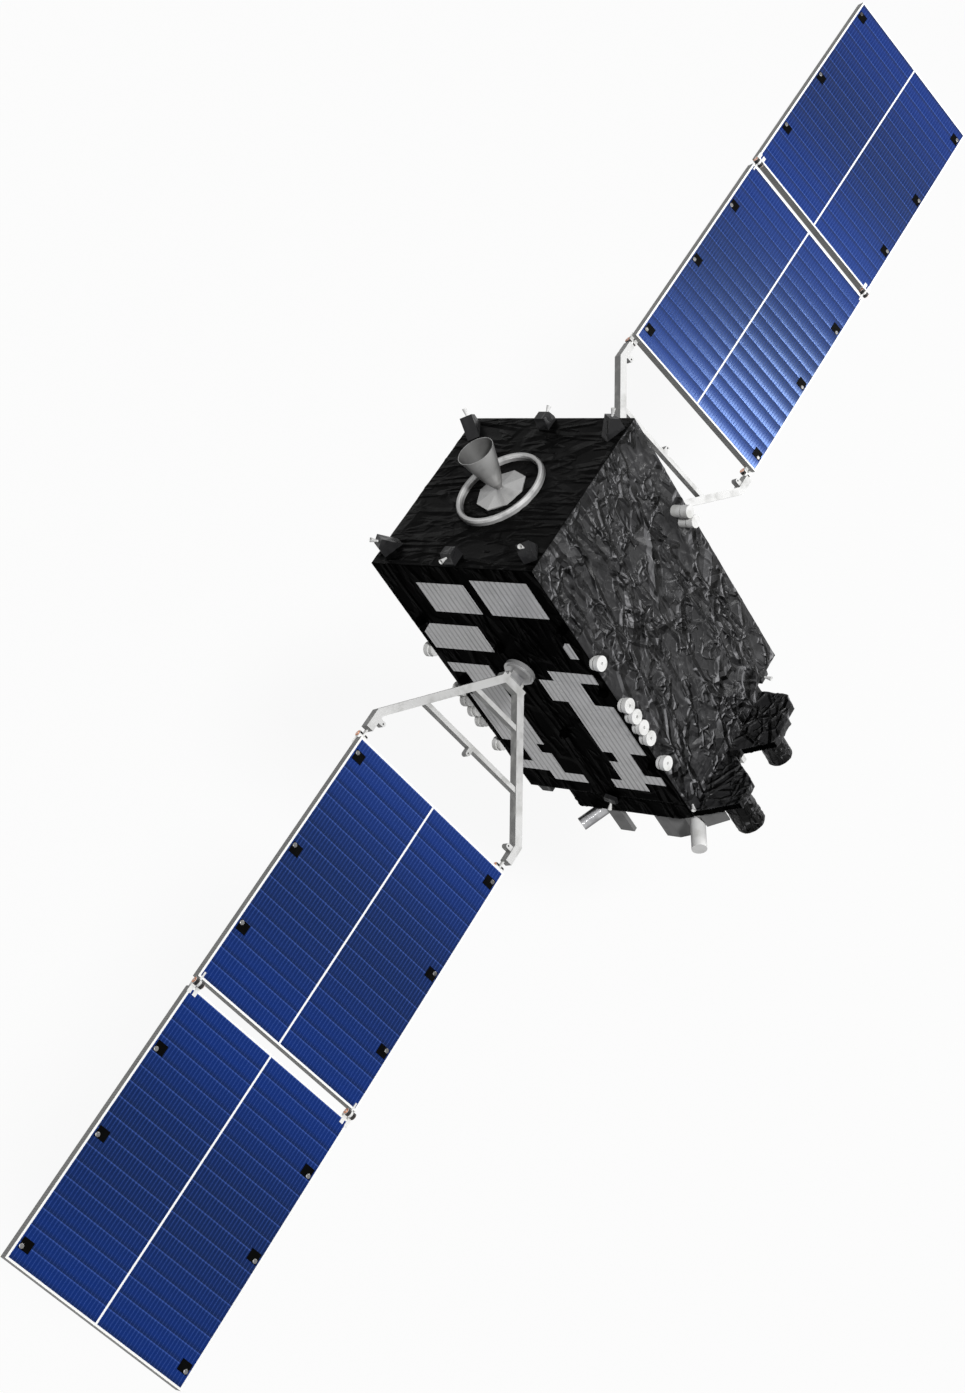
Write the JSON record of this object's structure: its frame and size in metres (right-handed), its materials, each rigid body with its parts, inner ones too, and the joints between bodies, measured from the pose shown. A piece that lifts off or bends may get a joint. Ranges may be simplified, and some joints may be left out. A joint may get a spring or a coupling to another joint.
{
  "type": "communications satellite",
  "caption": "Box satellite in black foil with an engine nozzle and launch ring on top, sensors below, and two long blue solar wings that turn on drives and fold zigzag against its sides.",
  "frame": {"origin": "centre of the launch ring's separation plane", "axes": "+Z out of the separation plane, the way the engine fires; +X out of a plain foil side, towards the side that the sensor shelf sticks out of; wings along -Y and +Y"},
  "size_m": [3.153, 18.918, 5.12],
  "materials": {
    "black_foil": "crinkled thermal foil, glossy",
    "ring_metal": "light grey, satin",
    "nozzle_metal": "grey, satin",
    "white_paint": "white, matt",
    "radiator_tiles": "grey tiles with fine darker stripes",
    "dark_baffle": "dark foil, glossy",
    "polished_metal": "polished foil",
    "grey_paint": "light grey, matt",
    "drive_metal": "satin",
    "yoke_paint": "light grey, matt",
    "solar_panel": "deep blue solar cells under glass, with a pale frame",
    "hinge_metal": "satin, with dark barrels"
  },
  "bodies": {
    "bus": {"antenna_plate": "grey_paint", "apogee_engine": "nozzle_metal", "bus_box": "black_foil", "earth_deck_thruster_housings": "black_foil", "earth_deck_thruster_nozzles": "white_paint", "engine_deck_thruster_housings": "black_foil", "engine_deck_thruster_nozzles": "white_paint", "engine_mount": "ring_metal", "far_drive_housing": "drive_metal", "hold_down_brackets_far": "black_foil", "hold_down_brackets_near": "black_foil", "horizon_sensor_tube": "polished_metal", "instrument_tower": "grey_paint", "launch_ring": "ring_metal", "long_sensor_baffle": "dark_baffle", "near_drive_housing": "drive_metal", "payload_slab": "black_foil", "radiators_far": "radiator_tiles", "radiators_near": "radiator_tiles", "reflector_fin": "grey_paint", "sensor_shelf": "black_foil", "short_sensor_baffle": "dark_baffle", "side_cans_back": "white_paint", "side_cans_front": "white_paint", "side_pots_back": "white_paint", "side_pots_front": "white_paint", "sun_sensor": "white_paint", "white_horn": "white_paint"},
    "near_drive": {"near_drive_hub": "drive_metal"},
    "near_yoke_frame": {"near_yoke": "yoke_paint", "near_yoke_hinges": "hinge_metal"},
    "near_inner_wing": {"near_inner_panel": "solar_panel", "near_inner_root_hinges": "hinge_metal", "near_inner_tip_hinges": "hinge_metal"},
    "near_outer_wing": {"near_outer_panel": "solar_panel", "near_outer_hinges": "hinge_metal"},
    "far_drive": {"far_drive_hub": "drive_metal"},
    "far_yoke_frame": {"far_yoke": "yoke_paint", "far_yoke_hinges": "hinge_metal"},
    "far_inner_wing": {"far_inner_panel": "solar_panel", "far_inner_root_hinges": "hinge_metal", "far_inner_tip_hinges": "hinge_metal"},
    "far_outer_wing": {"far_outer_panel": "solar_panel", "far_outer_hinges": "hinge_metal"}
  },
  "joints": [
    {"name": "near_array_drive", "type": "hinge", "parent": "bus", "child": "near_drive", "pos_m": [0, -1.2, -1.719], "axis": [0, 1, 0], "continuous": true},
    {"name": "near_root_hinge", "type": "hinge", "parent": "near_drive", "child": "near_yoke_frame", "pos_m": [0, -1.29, -1.719], "axis": [-0.2703, 0, 0.9628], "range_deg": [0, 90]},
    {"name": "near_yoke_panel_hinge", "type": "hinge", "parent": "near_yoke_frame", "child": "near_inner_wing", "pos_m": [-0.05873, -3.05, -1.73549], "axis": [-0.2703, 0, 0.9628], "range_deg": [-180, 0]},
    {"name": "near_panel_panel_hinge", "type": "hinge", "parent": "near_inner_wing", "child": "near_outer_wing", "pos_m": [0.05777, -6.28, -1.70278], "axis": [-0.2703, 0, 0.9628], "range_deg": [0, 180]},
    {"name": "far_array_drive", "type": "hinge", "parent": "bus", "child": "far_drive", "pos_m": [0, 1.2, -1.719], "axis": [0, 1, 0], "continuous": true},
    {"name": "far_root_hinge", "type": "hinge", "parent": "far_drive", "child": "far_yoke_frame", "pos_m": [0, 1.29, -1.719], "axis": [0.2703, 0, -0.9628], "range_deg": [0, 90]},
    {"name": "far_yoke_panel_hinge", "type": "hinge", "parent": "far_yoke_frame", "child": "far_inner_wing", "pos_m": [-0.05873, 3.05, -1.73549], "axis": [0.2703, 0, -0.9628], "range_deg": [-180, 0]},
    {"name": "far_panel_panel_hinge", "type": "hinge", "parent": "far_inner_wing", "child": "far_outer_wing", "pos_m": [0.05777, 6.28, -1.70278], "axis": [0.2703, 0, -0.9628], "range_deg": [0, 180]}
  ],
  "couplings": [
    {"joint": "near_yoke_panel_hinge", "follows": "near_root_hinge", "ratio": -2},
    {"joint": "near_panel_panel_hinge", "follows": "near_root_hinge", "ratio": 2},
    {"joint": "far_yoke_panel_hinge", "follows": "far_root_hinge", "ratio": -2},
    {"joint": "far_panel_panel_hinge", "follows": "far_root_hinge", "ratio": 2}
  ]
}
